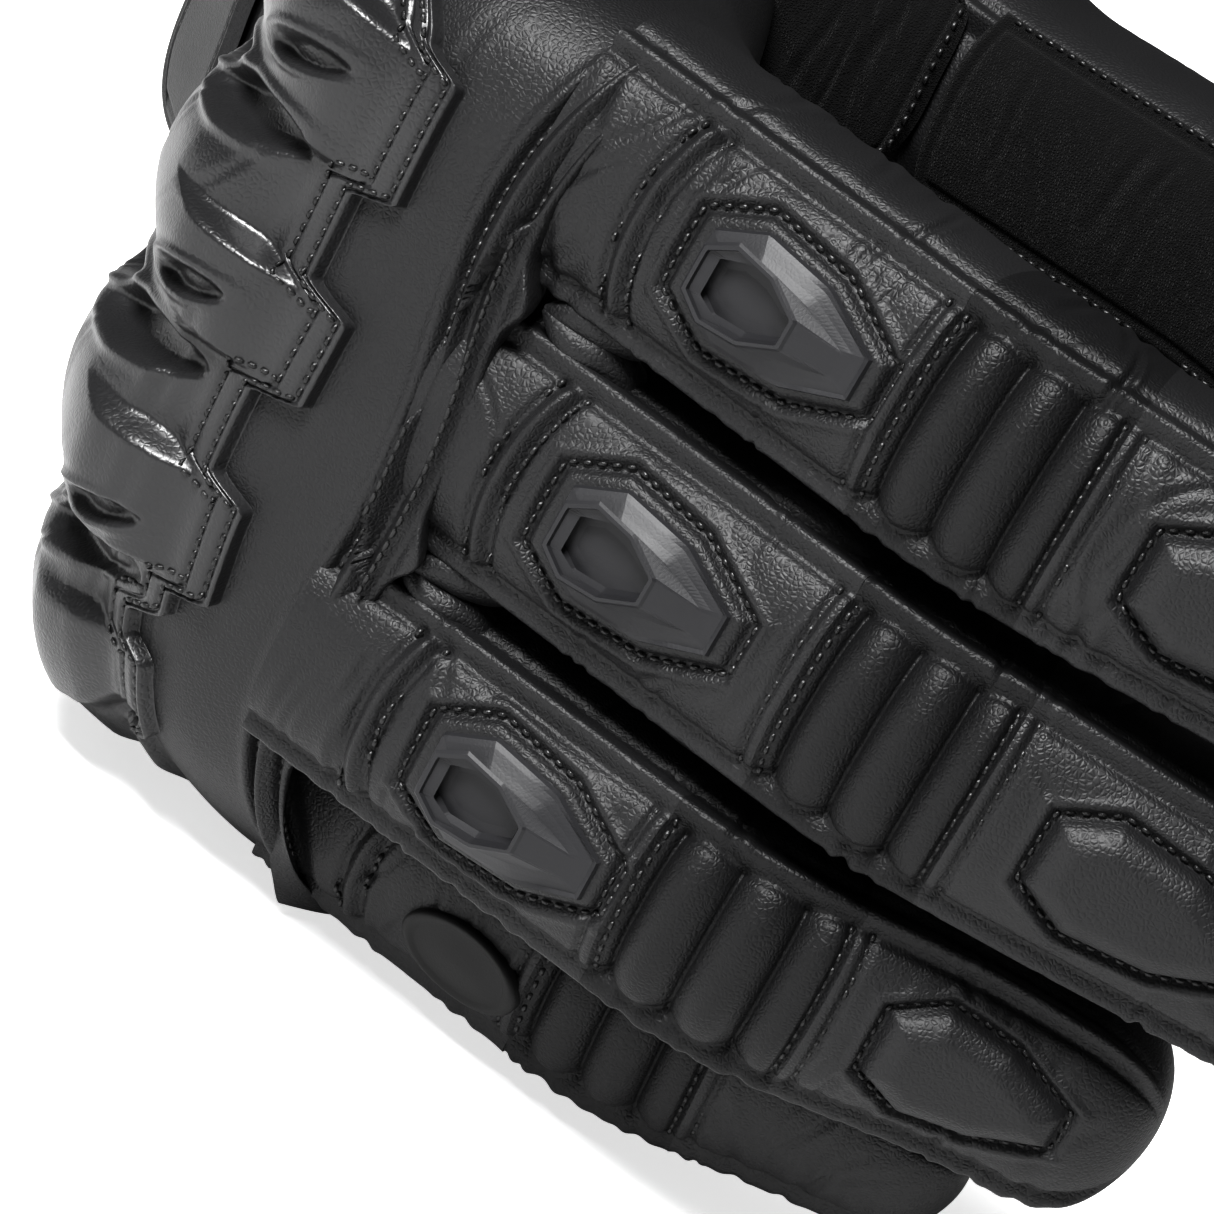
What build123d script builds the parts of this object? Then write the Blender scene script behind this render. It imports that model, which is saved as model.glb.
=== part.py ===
from build123d import *
import os
from math import sin, cos, tan, radians, sqrt

os.makedirs("parts", exist_ok=True)

# Leather and fits
LEATHER = 1.6          # thickness of the lined leather shell
GAP = 0.4              # clearance between pieces that move past one another
SEAM = 0.3             # gap left at a stitched seam between two panels

# Fingers: all hinge lines stand upright, the little finger lowest
KNUCKLE_BEND = 62      # lean of the fingers toward the palm, from the line of the hand
BASE_AHEAD = 13        # finger hinge line ahead of the frame origin, along the fingers
REACH_BACK = 25        # how far a finger opens from rest
REACH_IN = 20          # how far a finger closes from rest
MID_CLOSE = 42         # how far a middle joint closes from rest
MID_DEPTH = 4          # middle joint axis below the finger's centre line
CORNER = 8.5           # rounding of the finger sleeve
SEAM_RISE = 5.5        # height of the back and palm panels' turned edges
TIP_NARROW = 3         # how much a finger narrows by its tip
FOLD_LENGTH = 10       # opening between the panels that the accordion fills
ACCORDION_TUCK = 30    # turn of the accordion that lies past the joint line on each side
RIB_TURN = 13          # turn from one accordion rib to the next
ARCH_SKIN = 1.2        # thickness of the arched strips over the joints

#          height, depth, width, thick, curl, roll, knuckle-mid, mid-tip, mid bend
FINGERS = {
    "index": (81, -11, 25, 22, 0, 0, 37.5, 42, 14),
    "middle": (55.5, -11, 24, 22, 2, 0, 41.5, 44, 16),
    "ring": (31.6, -9, 21.6, 21, 4, 5, 37, 39.5, 26),
    "pinky": (10.8, 0.4, 20, 19, 2, 14, 29, 32, 20),
}

# Hard and padded pieces on the fingers
SLIDER_AHEAD = 17      # centre of the knuckle slider ahead of the base hinge
SLIDER_LENGTH = 17
SLIDER_WIDTH = 10.5
SLIDER_HEIGHT = 3.2
PAD_LENGTH = 19
PAD_WIDTH = 12

# Hand and cuff
HAND_WIDTH = 93
HAND_MIDDLE = 46.5     # height of the middle of the hand above the resting face
WRIST_Y = 98
WRIST_SWING = 15       # wrist bend either way
CUFF_END_Y = 150
ARMOUR_THICK = 3.0


REST_POINT = (26.42, 46.84, 0.8)   # point of the resting face that becomes the origin


def save(piece, label):
    placed = piece.part.moved(Location(Vector(*REST_POINT) * -1))
    placed.label = label
    export_step(placed, "parts/" + label + ".step")


def finger_frame(name):
    """Frame at a finger's base hinge: X along the finger, Y toward the palm, Z the hinge."""
    height, depth, width, thick, curl, roll, near, far, bend = FINGERS[name]
    lean = radians(KNUCKLE_BEND + curl)
    line = radians(KNUCKLE_BEND)
    along = Vector(sin(lean), -cos(lean), 0)
    palmward = Vector(cos(lean), sin(lean), 0)
    hinge = Vector(0, 0, 1) * cos(radians(roll)) - palmward * sin(radians(roll))
    origin = (
        Vector(sin(line), -cos(line), 0) * BASE_AHEAD
        + Vector(cos(line), sin(line), 0) * depth
        + Vector(0, 0, height)
    )
    return Plane(origin=origin, x_dir=along, z_dir=hinge)


def turned(frame, shift, angle):
    """A frame moved by a local shift and turned about its own Z axis."""
    origin = frame.from_local_coords(shift)
    along = frame.x_dir * cos(radians(angle)) + frame.y_dir * sin(radians(angle))
    return Plane(origin=origin, x_dir=along, z_dir=frame.z_dir)


def coffin(length, width):
    """Eight-sided outline, wide toward the knuckle and narrow toward the fingertip."""
    Polygon(
        (-length / 2, -width * 0.28), (length * -0.25, -width / 2), (length * 0.15, -width * 0.44),
        (length / 2, -width * 0.18), (length / 2, width * 0.18), (length * 0.15, width * 0.44),
        (-length * 0.25, width / 2), (-length / 2, width * 0.28), align=None
    )


def section(frame, ahead):
    """Plane across a sleeve: X toward the thumb side, Y toward the back of the hand."""
    return Plane(
        origin=frame.from_local_coords((ahead, 0, 0)), x_dir=frame.z_dir, z_dir=frame.x_dir
    )


def side_plane(frame, reach):
    return Plane(
        origin=frame.from_local_coords((0, 0, -reach)), x_dir=frame.x_dir, z_dir=frame.z_dir
    )


def keep_outline(frame, points):
    """Keep only what lies inside an outline seen from the side of a sleeve."""
    with BuildSketch(side_plane(frame, 40)) as outline:
        with BuildLine():
            Polyline(*points, close=True)
        make_face()
    extrude(outline.sketch, amount=80, mode=Mode.INTERSECT)


def sleeve_panel(label, frame, width, thick, length, centre, side, outline):
    """One stitched panel of a finger sleeve."""
    corner = min(CORNER, thick / 2 - 1)
    flat = thick - 2 * SEAM_RISE
    with BuildPart() as panel:
        with BuildSketch(section(frame, 0)):
            with Locations((0, -centre)):
                RectangleRounded(width, thick, corner)
                RectangleRounded(
                    width - 2 * LEATHER, thick - 2 * LEATHER, corner - LEATHER, mode=Mode.SUBTRACT
                )
            if side == "back":
                with Locations((0, -centre + flat / 2 + SEAM_RISE / 2)):
                    Rectangle(2 * width, SEAM_RISE, mode=Mode.INTERSECT)
            if side == "palm":
                with Locations((0, -centre - flat / 2 - SEAM_RISE / 2)):
                    Rectangle(2 * width, SEAM_RISE, mode=Mode.INTERSECT)
            if side == "thumb_side":
                with Locations((width / 2, -centre)):
                    Rectangle(width / 2, flat - 2 * SEAM, mode=Mode.INTERSECT)
            if side == "little_side":
                with Locations((-width / 2, -centre)):
                    Rectangle(width / 2, flat - 2 * SEAM, mode=Mode.INTERSECT)
        extrude(amount=length)
        keep_outline(frame, outline)
    save(panel, label)


def capped_half(label, frame, width, thick, length, centre, side, start, outline):
    """Half of the closed end of a finger, split at mid height."""
    corner = min(CORNER, thick / 2 - 1)
    forms = []
    for trim, first, last in ((0, start, length), (2 * LEATHER, start - 0.2, length - LEATHER)):
        with BuildPart() as form:
            for ahead, narrow in ((first, trim), (last, TIP_NARROW + trim)):
                with BuildSketch(section(frame, ahead)):
                    with Locations((0, -centre)):
                        RectangleRounded(width - narrow, thick - narrow, corner - narrow / 2)
            loft()
            tip = form.faces().sort_by(Axis(frame.origin, frame.x_dir))[-1]
            fillet(tip.edges(), 6.5 - 0.6 * trim)
        forms.append(form.part)
    with BuildPart() as half:
        add(forms[0])
        add(forms[1], mode=Mode.SUBTRACT)
        low = SEAM / 2 + centre if side == "palm" else centre - thick
        high = centre + thick if side == "palm" else centre - SEAM / 2
        keep_outline(frame, [(0, low), (length + 5, low), (length + 5, high), (0, high)])
        keep_outline(frame, outline)
    save(half, label)


def rounded_arch(frame, width, thick, rise, proud, skin, first, last, mode=Mode.ADD):
    """Arched strip about a hinge with the sleeve's rounded section, lying inside the sleeve.

    Angles are counted from the back toward the tip; rise is the centre line above the hinge.
    """
    inset = 2 * (LEATHER + GAP)
    start = turned(frame, (0, 0, 0), first)
    with BuildSketch(section(start, 0)) as strip:
        with Locations((0, rise)):
            outer_w, outer_t = width - inset, thick - inset
            RectangleRounded(outer_w + (2 if proud else 0), outer_t + (2 if proud else 0),
                             CORNER - inset / 2 - 0.5 + (1 if proud else 0))
            RectangleRounded(outer_w - 2 * skin, outer_t - 2 * skin,
                             CORNER - inset / 2 - 0.5 - skin, mode=Mode.SUBTRACT)
        with Locations((0, rise + thick / 2)):
            Rectangle(2 * width, thick - 6, mode=Mode.INTERSECT)
    revolve(strip.sketch, axis=Axis(frame.origin, frame.z_dir), revolution_arc=last - first,
            mode=mode)


def build_sleeve(name, base, width, thick, near, far, bend):
    """A two-jointed leather sleeve with its accordion panel."""
    mid_axis = turned(base, (near, MID_DEPTH, 0), 0)
    mid = turned(base, (near, MID_DEPTH, 0), bend)
    back_edge = FOLD_LENGTH / 2
    deep = thick
    notch = tan(radians((bend + MID_CLOSE) / 2 + 1))

    # Sleeve from the knuckle to the middle joint
    outline = [
        (0.5, -deep), (near - back_edge, -deep), (near - back_edge, 5 - thick / 2),
        (near - 0.6, 6 - thick / 2), (near - 0.6, MID_DEPTH),
        (near - 0.6 - deep * notch, MID_DEPTH + deep), (0.5, deep),
    ]
    for side in ("back", "palm", "thumb_side", "little_side"):
        sleeve_panel(name + "_" + side, base, width, thick, near + 5, 0, side, outline)

    # Closed end beyond the middle joint, as two halves
    centre = -MID_DEPTH
    outline = [
        (back_edge, -2 * deep), (far + 5, -2 * deep), (far + 5, deep),
        (0.6 + deep * notch, deep), (0.6, 0), (0.6, 2 - thick / 2 - MID_DEPTH + 5),
        (back_edge, 1 - thick / 2 - MID_DEPTH + 5),
    ]
    for side in ("back", "palm"):
        capped_half(name + "_end_" + side, mid, width - 0.6, thick - 0.4, far, centre, side, 0.4,
                    outline)

    # Ribbed accordion panel that slides under both back panels
    high = thick / 2 + MID_DEPTH
    with BuildPart() as accordion:
        rounded_arch(mid_axis, width - 0.6, thick - 0.4, MID_DEPTH, 0, ARCH_SKIN,
                     -ACCORDION_TUCK, bend + ACCORDION_TUCK + 17)
        first = -ACCORDION_TUCK + 7
        ribs = int((bend + 2 * ACCORDION_TUCK - 10) / RIB_TURN)
        for rib in range(ribs):
            around = first + rib * RIB_TURN
            rounded_arch(mid_axis, width - 0.6, thick - 0.4, MID_DEPTH, -1, 0.55,
                         around, around + 3, Mode.SUBTRACT)
    save(accordion, name + "_accordion")



def build_finger(name):
    height, depth, width, thick, curl, roll, near, far, bend = FINGERS[name]
    base = finger_frame(name)
    mid = turned(base, (near, MID_DEPTH, 0), bend)
    high = thick / 2 + MID_DEPTH
    build_sleeve(name, base, width, thick, near, far, bend)

    # Rounded fold of soft leather over the base hinge
    with BuildPart() as fold:
        rounded_arch(base, width - 3.5, thick, 0, 0, ARCH_SKIN, 3 - REACH_BACK, REACH_IN + 6)
    save(fold, name + "_fold")

    # Knuckle slider, or an oval badge on the little finger
    outside = Plane(
        origin=base.from_local_coords((SLIDER_AHEAD, -thick / 2 - 0.1, 0)),
        x_dir=base.x_dir, z_dir=-base.y_dir
    )
    if name == "pinky":
        with BuildPart() as badge:
            with BuildSketch(outside):
                Ellipse(6.5, 3.6)
            extrude(amount=1.6)
            fillet(badge.faces().sort_by(Axis(outside.origin, outside.z_dir))[-1].edges(), 0.6)
        save(badge, "pinky_badge")
        return
    with BuildPart() as slider:
        with BuildSketch(outside):
            coffin(SLIDER_LENGTH, SLIDER_WIDTH)
        extrude(amount=SLIDER_HEIGHT)
        top = slider.faces().sort_by(Axis(outside.origin, outside.z_dir))[-1]
        chamfer(top.edges(), 1.1)
        with BuildSketch(outside.offset(SLIDER_HEIGHT - 0.9)):
            with Locations((-2.5, 0)):
                coffin(SLIDER_LENGTH * 0.5, SLIDER_WIDTH * 0.52)
        extrude(amount=5, mode=Mode.SUBTRACT)
    save(slider, name + "_slider")

    # Puffed pad near the fingertip
    with BuildPart() as pad:
        pad_plane = Plane(
            origin=mid.from_local_coords((far * 0.6, -high - 0.1, 0)), x_dir=mid.x_dir,
            z_dir=-mid.y_dir
        )
        with BuildSketch(pad_plane):
            coffin(PAD_LENGTH, PAD_WIDTH)
        extrude(amount=2.2)
        fillet(pad.faces().sort_by(Axis(pad_plane.origin, pad_plane.z_dir))[-1].edges(), 1.2)
    save(pad, name + "_tip_pad")


for finger in FINGERS:
    build_finger(finger)


# The hand is lofted through five cross-sections, from the wrist round the knuckles.
#   origin x, y, lean toward the palm, width, back height, palm height, little-side drop
HAND_STATIONS = (
    (0, WRIST_Y, 0, 78, 24, -16, 2),
    (0, 55, 0, 88, 25.5, -12, 5),
    (0, 18, 0, 93, 27, -11, 8),
    (-8, 1, 31, 93, 19.5, -20, 10),
    (11.5, -6.1, KNUCKLE_BEND, 93, 22, 0, 11),
)
CUFF_STATIONS = (
    (-2, CUFF_END_Y, 0, 92.5, 37, -24, 0),
    (-1, 124, 0, 86, 32, -20, 2),
    (0, WRIST_Y + 1, 0, 80, 27, -17, 2),
)
ROUND = ((-0.5, 0.5), (-0.39, 0.92), (-0.15, 1.0), (0.1, 1.0), (0.37, 1.0), (0.47, 0.85),
         (0.5, 0.5), (0.47, 0.15), (0.37, 0.0), (0.1, 0.0), (-0.15, 0.0), (-0.39, 0.08))


def station_plane(x, y, lean, ahead=0):
    forward = Vector(sin(radians(lean)), -cos(radians(lean)), 0)
    return Plane(
        origin=Vector(x, y, HAND_MIDDLE) + forward * ahead, x_dir=(0, 0, 1), z_dir=forward
    )


def drop_at(across, drop):
    return drop * max(0.0, (0.1 - across) / 0.5) ** 2


def hand_loft(stations, grow, mode=Mode.ADD):
    """Solid through the stations, grown outward; a hollow runs out past both ends."""
    rings = []
    past = 2 if mode == Mode.SUBTRACT else 0
    for x, y, lean, width, back, palm, drop in stations:
        ahead = past if (x, y) == stations[-1][:2] else -past if (x, y) == stations[0][:2] else 0
        with BuildSketch(station_plane(x, y, lean, ahead)) as ring:
            with BuildLine():
                Spline(*[
                    (across * (width + 2 * grow),
                     palm - grow + share * (back - palm + 2 * grow) - drop_at(across, drop))
                    for across, share in ROUND
                ], periodic=True)
            make_face()
        rings.append(ring.sketch)
    loft(rings, mode=mode)


def above_middle(stations, lift, mode):
    """Keep or cut the back-of-hand side of a surface through the middle of the hand."""
    rings = []
    for x, y, lean, width, back, palm, drop in stations:
        middle = (back + palm) / 2 + lift
        with BuildSketch(station_plane(x, y, lean)) as ring:
            with BuildLine():
                Polyline((-60, middle - 1.1 * drop), (-20, middle - 0.25 * drop), (60, middle),
                         (60, 60), (-60, 60), close=True)
            make_face()
        rings.append(ring.sketch)
    loft(rings, ruled=True, mode=mode)


def finger_notches():
    """Wedges that let each finger turn about its base hinge."""
    edges = {"index": (68, 110), "middle": (43.4, 68), "ring": (21.2, 43.4), "pinky": (-9, 21.2)}
    for name, (low, high) in edges.items():
        hinge = finger_frame(name)
        level = Plane(origin=hinge.origin, x_dir=hinge.x_dir, z_dir=(0, 0, 1))
        back_run = 40 * tan(radians(REACH_BACK + 2))
        palm_run = 40 * tan(radians(REACH_IN + 2))
        with BuildSketch(level.offset(low - hinge.origin.Z)) as wedge:
            with BuildLine():
                Polyline((-0.6, 0), (-0.6 - back_run, -40), (60, -40), (60, 40),
                         (-0.6 - palm_run, 40), close=True)
            make_face()
        extrude(wedge.sketch, amount=high - low, mode=Mode.SUBTRACT)


def wrist_notch(x, y, sense):
    """Shallow wedge that lets the cuff bend at the wrist."""
    run = 60 * tan(radians(WRIST_SWING / 2 + 1))
    with BuildSketch(Plane.XY.offset(-20)) as wedge:
        with BuildLine():
            Polyline((x, y), (x - 60, y - sense * run), (x - 60, y + sense * 60),
                     (x + 60, y + sense * 60), (x + 60, y - sense * run), close=True)
        make_face()
    extrude(wedge.sketch, amount=140, mode=Mode.SUBTRACT)


# Thumb: base sleeve, then a hinged sleeve and a closed end
THUMB_ROOT = Vector(8, 66, 70)
THUMB_KNUCKLE = Vector(38, 40, 86)
THUMB_JOINT = Vector(66, 16, 90)
THUMB_WIDTH = 25
THUMB_THICK = 23
THUMB_NEAR = 34
THUMB_FAR = 34
THUMB_BEND = 10
THUMB_SWING = 18       # thumb swing either way at its base


def thumb_frame():
    along = (THUMB_JOINT - THUMB_KNUCKLE).normalized()
    palmward = (Vector(0, 0, -1) + along * along.Z).normalized()
    return Plane(origin=THUMB_KNUCKLE, x_dir=along, z_dir=along.cross(palmward))


def thumb_core(grow, mode=Mode.ADD):
    """Round sleeve from inside the hand out to the thumb's first hinge."""
    along = (THUMB_KNUCKLE - THUMB_ROOT).normalized()
    end = thumb_frame()
    rings = []
    for centre, direction, radius in (
        (THUMB_ROOT, along, 19), (THUMB_ROOT + along * 24, along, 16),
        (THUMB_KNUCKLE - end.x_dir * 4, end.x_dir, 13),
    ):
        with BuildSketch(Plane(origin=centre, x_dir=end.z_dir, z_dir=direction)) as ring:
            Circle(radius + grow)
        rings.append(ring.sketch)
    loft(rings, mode=mode)


with BuildPart() as knuckle_panel:
    hand_loft(HAND_STATIONS, 0)
    hand_loft(HAND_STATIONS, -LEATHER, Mode.SUBTRACT)
    above_middle(HAND_STATIONS, 4, Mode.INTERSECT)
    finger_notches()
    with Locations((0, -36, HAND_MIDDLE)):
        Box(200, 100, 200, mode=Mode.INTERSECT)
save(knuckle_panel, "knuckle_panel")

with BuildPart() as back_panel:
    hand_loft(HAND_STATIONS, 0)
    hand_loft(HAND_STATIONS, -LEATHER, Mode.SUBTRACT)
    above_middle(HAND_STATIONS, 4, Mode.INTERSECT)
    thumb_core(SEAM, Mode.SUBTRACT)
    wrist_notch(4, WRIST_Y, 1)
    with Locations((0, 14 + SEAM + 50, HAND_MIDDLE)):
        Box(200, 100, 200, mode=Mode.INTERSECT)
save(back_panel, "back_panel")

with BuildPart() as palm_panel:
    hand_loft(HAND_STATIONS, 0)
    hand_loft(HAND_STATIONS, -LEATHER, Mode.SUBTRACT)
    above_middle(HAND_STATIONS, -4, Mode.SUBTRACT)
    thumb_core(SEAM, Mode.SUBTRACT)
    finger_notches()
    wrist_notch(4, WRIST_Y, 1)
save(palm_panel, "palm_panel")

for label, level in (("little_side_wall", HAND_MIDDLE - 100), ("thumb_side_wall", HAND_MIDDLE + 100)):
    with BuildPart() as wall:
        hand_loft(HAND_STATIONS, 0)
        hand_loft(HAND_STATIONS, -LEATHER, Mode.SUBTRACT)
        above_middle(HAND_STATIONS, 4 - SEAM, Mode.SUBTRACT)
        above_middle(HAND_STATIONS, -4 + SEAM, Mode.INTERSECT)
        thumb_core(SEAM, Mode.SUBTRACT)
        finger_notches()
        wrist_notch(4, WRIST_Y, 1)
        with Locations((0, 50, level)):
            Box(200, 300, 199, mode=Mode.INTERSECT)
    save(wall, label)

# Knuckle armour: one moulded shell with four ridges and lens-shaped vents
KNUCKLE = Vector(-8, 1, 0)      # centre of the knuckle bend seen from the side
KNUCKLE_RADIUS = 19.5
RIDGE = 10.5
RIDGES = ((79.5, 0), (56, 0), (34, 2.5), (14, 8.5))
line = radians(KNUCKLE_BEND)
ahead_of_hand = Vector(sin(line), -cos(line), 0)
into_palm = Vector(cos(line), sin(line), 0)
with BuildPart() as knuckle_armour:
    hand_loft(HAND_STATIONS, ARMOUR_THICK + GAP)
    for level, drop in RIDGES:
        centre = KNUCKLE + into_palm * drop + Vector(0, 0, level)
        upright = Plane(origin=centre, x_dir=(0, 0, 1), z_dir=(0, -1, 0))
        with BuildSketch(upright) as bar:
            with Locations((0, KNUCKLE_RADIUS - 3)):
                Circle(RIDGE)
        revolve(bar.sketch, axis=Axis(centre, (0, 0, 1)), revolution_arc=50)
        for turn in (0, 50):
            spot = Vector(-cos(radians(turn)), -sin(radians(turn)), 0) * (KNUCKLE_RADIUS - 3)
            with Locations(centre + spot):
                Sphere(RIDGE)
    hand_loft(HAND_STATIONS, GAP, Mode.SUBTRACT)
    above_middle(HAND_STATIONS, 6, Mode.INTERSECT)
    with Locations((0, 22 - 50, HAND_MIDDLE)):
        Box(120, 100, 88, mode=Mode.INTERSECT)
    with BuildSketch(Plane(origin=ahead_of_hand * 1.5, x_dir=(0, 0, 1), z_dir=ahead_of_hand)) as front:
        Rectangle(300, 300)
    extrude(front.sketch, amount=80, mode=Mode.SUBTRACT)
    for level, turn in ((67.5, 18), (45, 22), (24, 26)):
        out = Vector(-cos(radians(turn)), -sin(radians(turn)), 0)
        with BuildSketch(Plane(origin=KNUCKLE + out * 17 + Vector(0, 0, level),
                               x_dir=out.cross(Vector(0, 0, 1)), z_dir=out)) as vent:
            Ellipse(6, 1.5)
        extrude(vent.sketch, amount=30, mode=Mode.SUBTRACT)
save(knuckle_armour, "knuckle_armour")

# Suede patch on the palm and a hard heel slider below it
for label, skin, low, high, bottom, top in (
    ("palm_patch", 1.4, 22, 66, 12, 62), ("heel_slider", 3.0, 68, 86, 14, 40),
):
    with BuildPart() as patch:
        hand_loft(HAND_STATIONS, skin + 2 * GAP)
        with Locations((60, (low + high) / 2, (bottom + top) / 2)):
            Box(120, high - low, top - bottom, mode=Mode.INTERSECT)
        hand_loft(HAND_STATIONS, 2 * GAP, Mode.SUBTRACT)
        thumb_core(GAP, Mode.SUBTRACT)
    save(patch, label)


# Elastic band inside the wrist joint
BAND_LENGTH = 19
BAND_THICK = 1.2
BAND_SIZE = (60, 23)
BAND_CORNER = 9
band_plane = Plane(origin=(-6, WRIST_Y - 12, HAND_MIDDLE), x_dir=(0, 0, 1), z_dir=(0, 1, 0))
with BuildPart() as wrist_band:
    with BuildSketch(band_plane):
        RectangleRounded(*BAND_SIZE, BAND_CORNER)
        RectangleRounded(BAND_SIZE[0] - 2 * BAND_THICK, BAND_SIZE[1] - 2 * BAND_THICK,
                         BAND_CORNER - BAND_THICK, mode=Mode.SUBTRACT)
    extrude(amount=BAND_LENGTH)
save(wrist_band, "wrist_band")

# Flared cuff in two panels, and the closing strap over its back
for label, lift, mode in (("cuff_back", SEAM / 2, Mode.INTERSECT),
                          ("cuff_palm", -SEAM / 2, Mode.SUBTRACT)):
    with BuildPart() as cuff:
        hand_loft(CUFF_STATIONS, 0)
        hand_loft(CUFF_STATIONS, -LEATHER, Mode.SUBTRACT)
        above_middle(CUFF_STATIONS, lift, mode)
        wrist_notch(4, WRIST_Y + 1, -1)
        # the low edge is pressed flat where the glove lies on it
        with Locations((0, CUFF_END_Y, REST_POINT[2] - 10)):
            Box(200, 120, 20, mode=Mode.SUBTRACT)
    save(cuff, label)

with BuildPart() as closing_strap:
    hand_loft(CUFF_STATIONS, 3.0)
    hand_loft(CUFF_STATIONS, 0.8, Mode.SUBTRACT)
    above_middle(CUFF_STATIONS, 8, Mode.INTERSECT)
    with Locations((0, 129, 44)):
        Box(200, 24, 56, mode=Mode.INTERSECT)
save(closing_strap, "closing_strap")

# Thumb
thumb = thumb_frame()
build_sleeve("thumb", thumb, THUMB_WIDTH, THUMB_THICK, THUMB_NEAR, THUMB_FAR, THUMB_BEND)
with BuildPart() as thumb_gusset:
    thumb_core(0)
    thumb_core(-LEATHER, Mode.SUBTRACT)
    hand_loft(HAND_STATIONS, SEAM, Mode.SUBTRACT)
save(thumb_gusset, "thumb_gusset")

with BuildPart() as thumb_patch:
    patch_plane = Plane(
        origin=thumb.from_local_coords((THUMB_NEAR * 0.42, 0, -THUMB_WIDTH / 2 - 0.1)),
        x_dir=thumb.x_dir, z_dir=-thumb.z_dir
    )
    with BuildSketch(patch_plane):
        RectangleRounded(22, 11, 4)
    extrude(amount=1.2)
save(thumb_patch, "thumb_patch")
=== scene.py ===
import bpy
import math
import numpy as np
from mathutils import Matrix, Vector


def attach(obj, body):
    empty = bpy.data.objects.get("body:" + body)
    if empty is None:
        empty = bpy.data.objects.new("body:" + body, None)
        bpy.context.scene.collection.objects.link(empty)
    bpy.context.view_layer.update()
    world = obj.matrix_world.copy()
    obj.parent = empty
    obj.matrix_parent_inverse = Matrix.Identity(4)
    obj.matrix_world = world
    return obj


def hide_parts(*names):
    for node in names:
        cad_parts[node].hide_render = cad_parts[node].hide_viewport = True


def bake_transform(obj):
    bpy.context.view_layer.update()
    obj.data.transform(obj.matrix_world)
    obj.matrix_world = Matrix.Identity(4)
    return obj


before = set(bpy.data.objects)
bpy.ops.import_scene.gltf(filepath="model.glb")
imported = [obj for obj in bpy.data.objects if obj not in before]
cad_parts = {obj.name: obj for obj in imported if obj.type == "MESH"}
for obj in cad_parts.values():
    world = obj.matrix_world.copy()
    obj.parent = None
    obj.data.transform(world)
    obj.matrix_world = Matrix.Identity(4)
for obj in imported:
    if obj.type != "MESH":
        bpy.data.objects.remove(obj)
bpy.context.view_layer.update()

# ----------------------------------------
# Leather finishes
# Black cowhide with a fine pebble grain, satin over most of the glove. The grain comes from
# one shared node group, which every finish on the glove takes at its own scale.
GRAIN_SCALE = 2100       # pebbles per metre, before each material's own scale
BEND_SCALE = 260
BEND_REACH = 0.001       # how far the noise pushes the pebble pattern, in metres
SOFT_SCALE = 420
PATCH_SCALE = 55


def node_group(name, outputs, inputs=()):
    group = bpy.data.node_groups.new(name, "ShaderNodeTree")
    for label, kind, value in inputs:
        made = group.interface.new_socket(label, in_out="INPUT", socket_type=kind)
        made.default_value = value
    for label, kind in outputs:
        group.interface.new_socket(label, in_out="OUTPUT", socket_type=kind)
    entry, result = group.nodes.new("NodeGroupInput"), group.nodes.new("NodeGroupOutput")
    return group, group.nodes, group.links, entry, result


def math_node(nodes, operation, factor):
    made = nodes.new("ShaderNodeMath")
    made.operation = operation
    made.inputs[1].default_value = factor
    return made


def noise_node(nodes, links, where, scale, detail=None):
    made = nodes.new("ShaderNodeTexNoise")
    made.inputs["Scale"].default_value = scale
    if detail is not None:
        made.inputs["Detail"].default_value = detail
    links.new(where.outputs["Object"], made.inputs["Vector"])
    return made


grain, gn, gl, g_in, g_out = node_group(
    "leather_grain", [("Height", "NodeSocketFloat"), ("Patches", "NodeSocketFloat")],
    [("Scale", "NodeSocketFloat", 1.0)])
g_where = gn.new("ShaderNodeTexCoord")
g_big = math_node(gn, "MULTIPLY", GRAIN_SCALE)
gl.new(g_in.outputs["Scale"], g_big.inputs[0])
g_bend = noise_node(gn, gl, g_where, BEND_SCALE)
g_shift = gn.new("ShaderNodeVectorMath")
g_shift.operation = "MULTIPLY_ADD"
g_shift.inputs[1].default_value = (BEND_REACH, BEND_REACH, BEND_REACH)
gl.new(g_bend.outputs["Color"], g_shift.inputs[0])
gl.new(g_where.outputs["Object"], g_shift.inputs[2])
g_cells = gn.new("ShaderNodeTexVoronoi")
g_cells.feature = "DISTANCE_TO_EDGE"
gl.new(g_shift.outputs[0], g_cells.inputs["Vector"])
gl.new(g_big.outputs[0], g_cells.inputs["Scale"])
g_round = gn.new("ShaderNodeMapRange")
g_round.interpolation_type = "SMOOTHSTEP"
g_round.inputs["From Max"].default_value = 0.32
gl.new(g_cells.outputs["Distance"], g_round.inputs["Value"])
g_soft = noise_node(gn, gl, g_where, SOFT_SCALE, 4)
g_mix = math_node(gn, "MULTIPLY_ADD", 1.3)
gl.new(g_soft.outputs["Fac"], g_mix.inputs[0])
gl.new(g_round.outputs["Result"], g_mix.inputs[2])
gl.new(g_mix.outputs[0], g_out.inputs["Height"])
g_wide = noise_node(gn, gl, g_where, PATCH_SCALE, 5)
gl.new(g_wide.outputs["Fac"], g_out.inputs["Patches"])


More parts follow.
